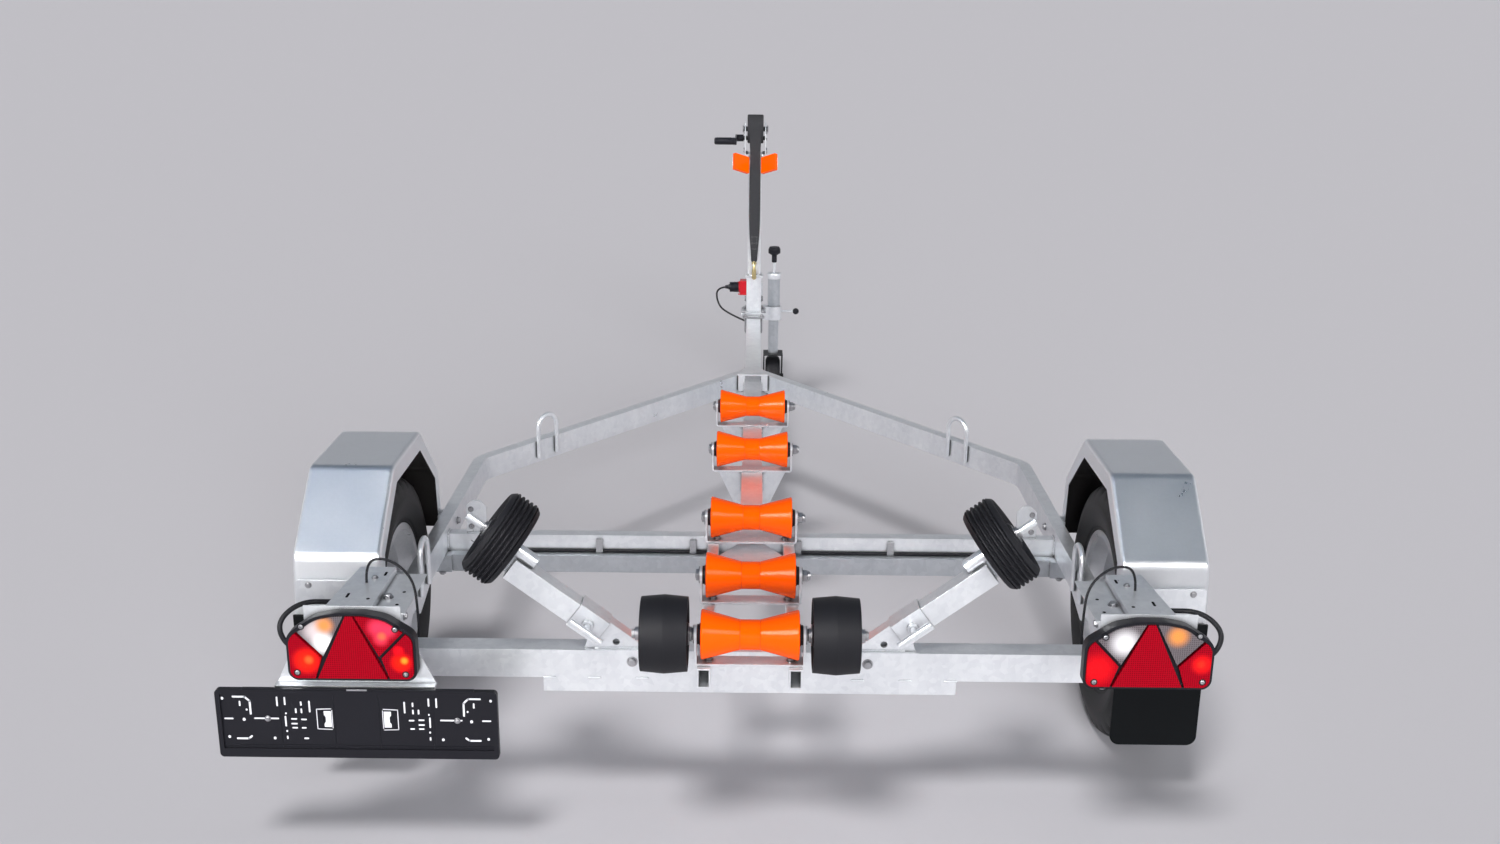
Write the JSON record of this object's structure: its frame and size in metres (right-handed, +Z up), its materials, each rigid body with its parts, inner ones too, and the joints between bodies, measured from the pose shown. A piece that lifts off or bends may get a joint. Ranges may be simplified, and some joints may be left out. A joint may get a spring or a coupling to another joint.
{
  "type": "boat trailer",
  "caption": "Galvanised single-axle boat trailer with orange keel rollers, side supports, winch post with crank winch, mudguards, rear lamps and a jockey wheel.",
  "frame": {"origin": "on the ground, midway between the two tyres' footprints", "axes": "+X to the right seen from behind, +Y forward to the coupling, +Z up"},
  "size_m": [1.921, 3.7153, 1.143],
  "materials": {
    "galvanised_steel": "hot-dip galvanised, dull spangle",
    "zinc_bolts": "bright zinc",
    "yellow_zinc": "yellow passivated zinc",
    "orange_polyurethane": "smooth moulded",
    "black_rubber": "matte moulded",
    "tyre_rubber": "matte",
    "black_plastic": "fine grain",
    "red_lens": "clear moulded prisms",
    "clear_lens": "clear moulded prisms",
    "red_plastic": "moulded",
    "black_webbing": "woven polyester",
    "cable_sheath": "satin sheath"
  },
  "bodies": {
    "frame": {"side_rails": "galvanised_steel", "drawbar": "galvanised_steel", "apex_plate": "galvanised_steel", "cross_beam": "galvanised_steel", "rear_beam": "galvanised_steel", "keel_cradle": "galvanised_steel", "torsion_axle": "galvanised_steel", "swing_arms": "galvanised_steel", "mudguard_right": "galvanised_steel", "mudguard_left": "galvanised_steel", "mudguard_spacers": "galvanised_steel", "mudflaps": "black_rubber", "cradle_brackets": "galvanised_steel", "drawbar_brackets": "galvanised_steel", "roller_pins": "zinc_bolts", "support_sleeves": "galvanised_steel", "support_arms": "galvanised_steel", "lashing_loops": "galvanised_steel", "lamp_housings": "black_plastic", "red_lenses": "red_lens", "clear_lenses": "clear_lens", "lamp_brackets": "galvanised_steel", "plate_holder": "black_plastic", "plate_carrier": "galvanised_steel", "winch_post": "galvanised_steel", "winch_frame": "galvanised_steel", "bow_pads": "orange_polyurethane", "bow_stop_bracket": "galvanised_steel", "winch_strap": "black_webbing", "snap_hook": "yellow_zinc", "jack_tube": "galvanised_steel", "jack_clamp": "galvanised_steel", "jack_knob": "black_plastic", "coupling_head": "galvanised_steel", "coupling_lever": "galvanised_steel", "plug_holder": "red_plastic", "plug": "black_plastic", "cables": "cable_sheath", "cable_clips": "zinc_bolts"},
    "wheel_right": {"rim_right": "galvanised_steel", "tyre_right": "tyre_rubber", "hub_right": "galvanised_steel"},
    "wheel_left": {"rim_left": "galvanised_steel", "tyre_left": "tyre_rubber", "hub_left": "galvanised_steel"},
    "keel_roller_1": {"keel_roller_1": "orange_polyurethane"},
    "keel_roller_2": {"keel_roller_2": "orange_polyurethane"},
    "keel_roller_3": {"keel_roller_3": "orange_polyurethane"},
    "keel_roller_4": {"keel_roller_4": "orange_polyurethane"},
    "keel_roller_5": {"keel_roller_5": "orange_polyurethane"},
    "side_roller_right": {"side_roller_right": "black_rubber"},
    "side_roller_left": {"side_roller_left": "black_rubber"},
    "support_wheel_right": {"support_wheel_right": "black_rubber"},
    "support_wheel_left": {"support_wheel_left": "black_rubber"},
    "winch_drum": {"winch_drum": "black_webbing"},
    "winch_crank": {"winch_crank": "black_plastic"},
    "jack_leg": {"jack_leg": "galvanised_steel"},
    "jack_fork": {"jack_fork": "galvanised_steel"},
    "jack_wheel": {"jack_wheel": "black_rubber"}
  },
  "joints": [
    {"name": "wheel_right_spin", "type": "hinge", "parent": "frame", "child": "wheel_right", "pos_m": [0.84, 0, 0.281], "axis": [1, 0, 0], "continuous": true},
    {"name": "wheel_left_spin", "type": "hinge", "parent": "frame", "child": "wheel_left", "pos_m": [-0.84, 0, 0.281], "axis": [1, 0, 0], "continuous": true},
    {"name": "keel_roller_1_spin", "type": "hinge", "parent": "frame", "child": "keel_roller_1", "pos_m": [0, -0.491, 0.44], "axis": [1, 0, 0], "continuous": true},
    {"name": "keel_roller_2_spin", "type": "hinge", "parent": "frame", "child": "keel_roller_2", "pos_m": [0, -0.205, 0.44], "axis": [1, 0, 0], "continuous": true},
    {"name": "keel_roller_3_spin", "type": "hinge", "parent": "frame", "child": "keel_roller_3", "pos_m": [0, 0.135, 0.44], "axis": [1, 0, 0], "continuous": true},
    {"name": "keel_roller_4_spin", "type": "hinge", "parent": "frame", "child": "keel_roller_4", "pos_m": [0, 0.645, 0.44], "axis": [1, 0, 0], "continuous": true},
    {"name": "keel_roller_5_spin", "type": "hinge", "parent": "frame", "child": "keel_roller_5", "pos_m": [0, 1.05, 0.44], "axis": [1, 0, 0], "continuous": true},
    {"name": "side_roller_right_spin", "type": "hinge", "parent": "frame", "child": "side_roller_right", "pos_m": [0.161, -0.491, 0.44], "axis": [1, 0, 0], "continuous": true},
    {"name": "side_roller_left_spin", "type": "hinge", "parent": "frame", "child": "side_roller_left", "pos_m": [-0.161, -0.491, 0.44], "axis": [1, 0, 0], "continuous": true},
    {"name": "support_wheel_right_spin", "type": "hinge", "parent": "frame", "child": "support_wheel_right", "pos_m": [0.48927, -0.337, 0.56784], "axis": [0.7986, 0, 0.6018], "continuous": true},
    {"name": "support_wheel_left_spin", "type": "hinge", "parent": "frame", "child": "support_wheel_left", "pos_m": [-0.48927, -0.337, 0.56784], "axis": [-0.7986, 0, 0.6018], "continuous": true},
    {"name": "drum_spin", "type": "hinge", "parent": "frame", "child": "winch_drum", "pos_m": [0, 2.547, 1.09], "axis": [1, 0, 0], "continuous": true},
    {"name": "crank_spin", "type": "hinge", "parent": "frame", "child": "winch_crank", "pos_m": [0, 2.607, 1.05], "axis": [1, 0, 0], "continuous": true},
    {"name": "jack_slide", "type": "slide", "parent": "frame", "child": "jack_leg", "axis": [0, 0, 1], "range_m": [-0.075, 0.065]},
    {"name": "jack_swivel", "type": "hinge", "parent": "jack_leg", "child": "jack_fork", "pos_m": [0.08, 2.716, 0.185], "axis": [0, 0, 1], "continuous": true},
    {"name": "jack_wheel_spin", "type": "hinge", "parent": "jack_fork", "child": "jack_wheel", "pos_m": [0.08, 2.75, 0.08], "axis": [1, 0, 0], "continuous": true}
  ],
  "couplings": [
    {"joint": "crank_spin", "follows": "drum_spin", "ratio": -4}
  ]
}
